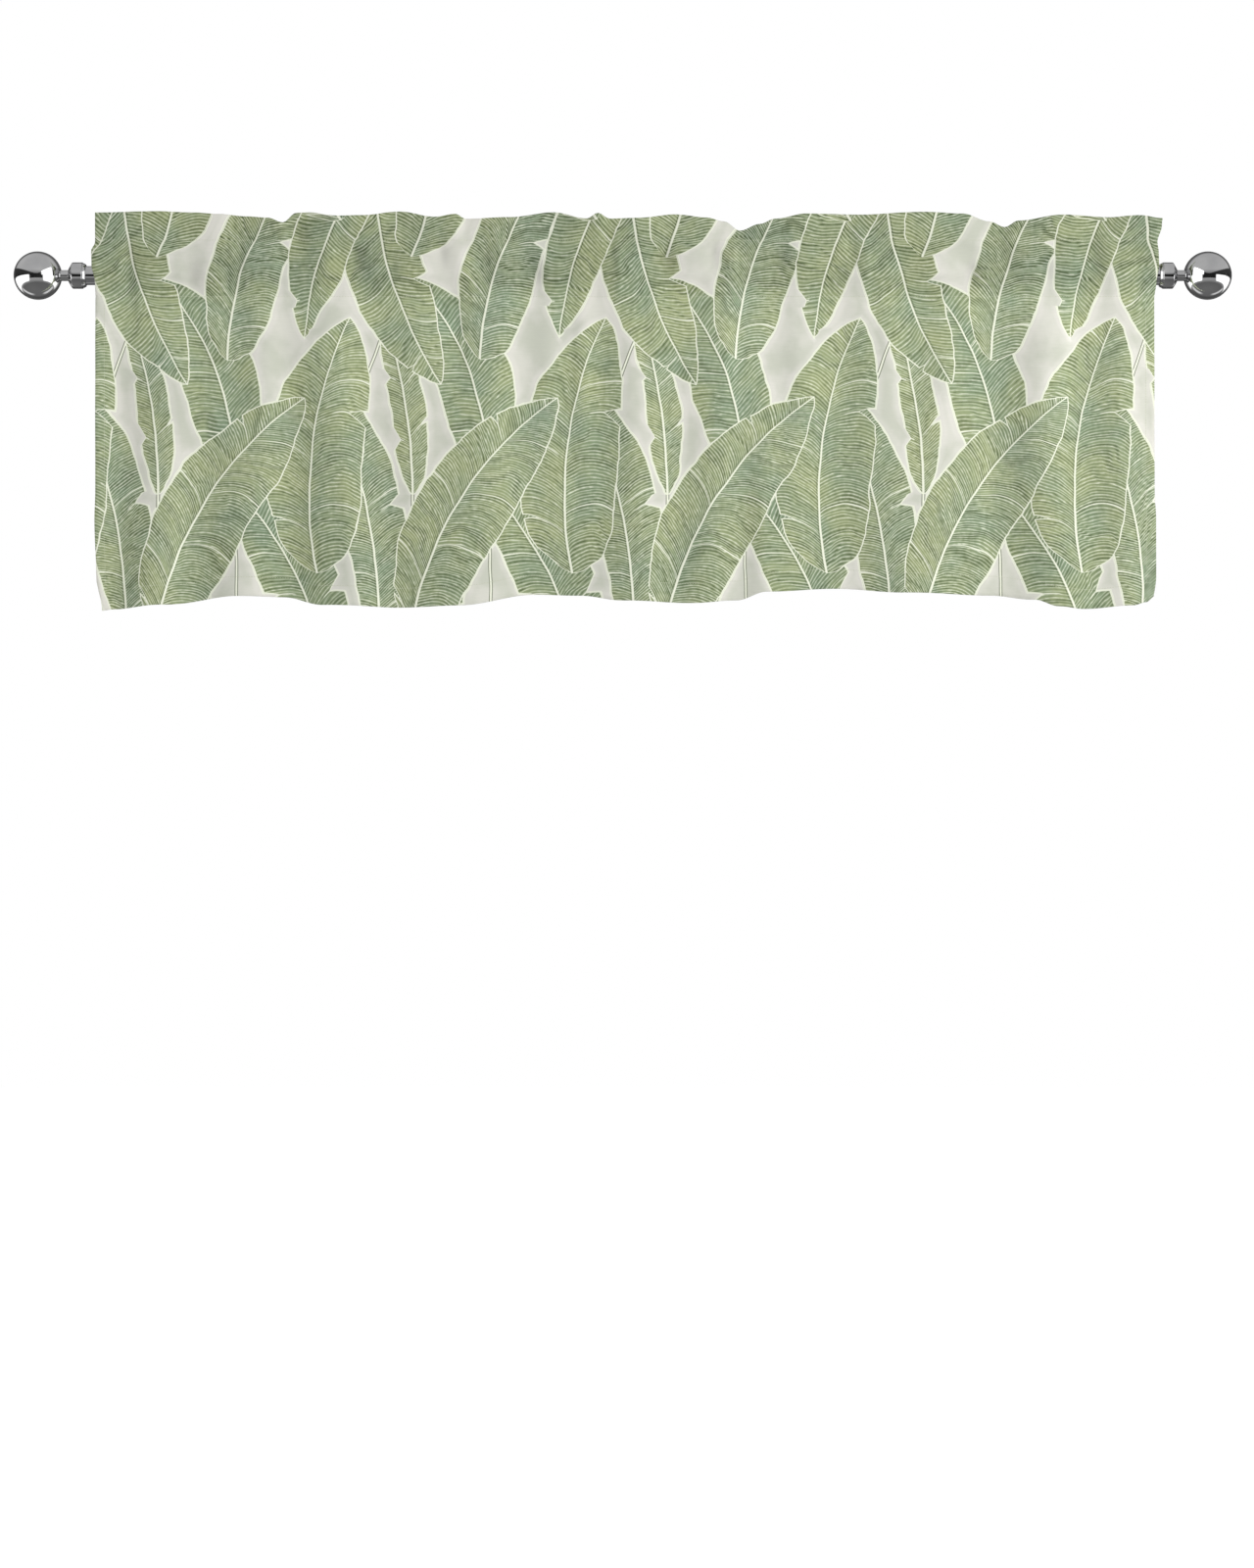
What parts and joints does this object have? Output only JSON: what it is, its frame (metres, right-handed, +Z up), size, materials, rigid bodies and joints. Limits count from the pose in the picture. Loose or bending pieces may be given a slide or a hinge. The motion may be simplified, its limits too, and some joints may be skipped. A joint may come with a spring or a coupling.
{
  "type": "window valance on curtain rod",
  "caption": "Short gathered rod-pocket window valance of leaf-printed cloth, hung on a round metal curtain rod with ball finials.",
  "frame": {"origin": "middle of the curtain rod's axis", "axes": "+X along the rod, to the right seen from the room; -Y out of the printed front, towards the room; +Z up"},
  "size_m": [1.4208, 0.056, 0.466],
  "materials": {
    "cloth": "matt plain-woven polyester, printed with green leaves on a pale ground",
    "polished_metal": "polished nickel-coloured plating"
  },
  "bodies": {
    "root": {"valance_cloth": "cloth", "rod": "polished_metal", "collar_left": "polished_metal", "collar_right": "polished_metal", "neck_left": "polished_metal", "neck_right": "polished_metal", "ball_left": "polished_metal", "ball_right": "polished_metal"}
  },
  "joints": []
}
